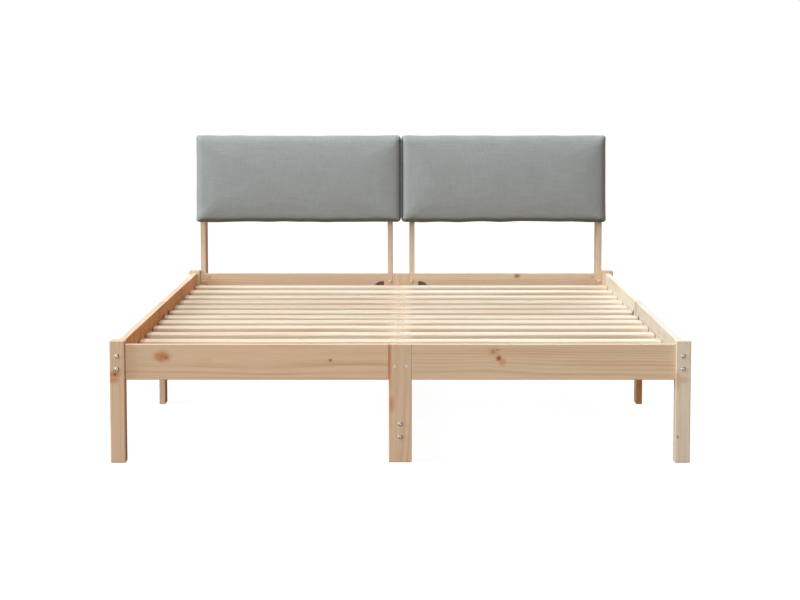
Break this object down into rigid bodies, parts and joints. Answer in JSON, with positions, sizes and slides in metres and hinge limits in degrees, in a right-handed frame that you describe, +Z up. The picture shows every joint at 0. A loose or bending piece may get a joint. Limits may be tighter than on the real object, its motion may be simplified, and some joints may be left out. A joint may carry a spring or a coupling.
{
  "type": "double bed frame",
  "caption": "Low pine double bed frame with square corner posts, flat centre legs, a deck of split slats, and an open head with upright boards carrying padded fabric cushions.",
  "frame": {"origin": "on the floor, under the middle of the whole frame", "axes": "+X to the right for someone who stands at the foot and looks to the head, +Y from the foot to the head, +Z up"},
  "size_m": [1.46, 2.1436, 0.7765],
  "materials": {
    "pine": "planed and left raw, matt",
    "slat_pine": "planed and left raw, matt",
    "plywood": "sanded, matt",
    "linen": "coarse plain weave, matt",
    "steel": "zinc plated, satin"
  },
  "bodies": {
    "root": {"back_board_screws": "steel", "barrel_nuts": "steel", "beam_leg_bolts": "steel", "beam_screws": "steel", "centre_beam": "pine", "foot_beam_leg": "pine", "foot_centre_leg": "pine", "foot_left_post": "pine", "foot_left_rail": "pine", "foot_right_post": "pine", "foot_right_rail": "pine", "head_beam_leg": "pine", "head_centre_leg": "pine", "head_left_post": "pine", "head_left_rail": "pine", "head_right_post": "pine", "head_right_rail": "pine", "ledger_screws": "steel", "left_back_board": "pine", "left_cushion": "linen", "left_cushion_panel": "plywood", "left_foot_ledger": "pine", "left_foot_side_rail": "pine", "left_head_ledger": "pine", "left_head_side_rail": "pine", "left_inner_upright": "pine", "left_middle_ledger": "pine", "left_middle_leg": "pine", "left_outer_upright": "pine", "middle_beam_leg": "pine", "panel_bolts": "steel", "pocket_bolts": "steel", "pocket_washers": "steel", "post_bolts": "steel", "right_back_board": "pine", "right_cushion": "linen", "right_cushion_panel": "plywood", "right_foot_ledger": "pine", "right_foot_side_rail": "pine", "right_head_ledger": "pine", "right_head_side_rail": "pine", "right_inner_upright": "pine", "right_middle_ledger": "pine", "right_middle_leg": "pine", "right_outer_upright": "pine", "slat_pair_01": "slat_pine", "slat_pair_02": "slat_pine", "slat_pair_03": "slat_pine", "slat_pair_04": "slat_pine", "slat_pair_05": "slat_pine", "slat_pair_06": "slat_pine", "slat_pair_07": "slat_pine", "slat_pair_08": "slat_pine", "slat_pair_09": "slat_pine", "slat_pair_10": "slat_pine", "slat_pair_11": "slat_pine", "slat_pair_12": "slat_pine", "slat_pair_13": "slat_pine", "slat_screws": "steel", "upright_bolts": "steel"}
  },
  "joints": []
}
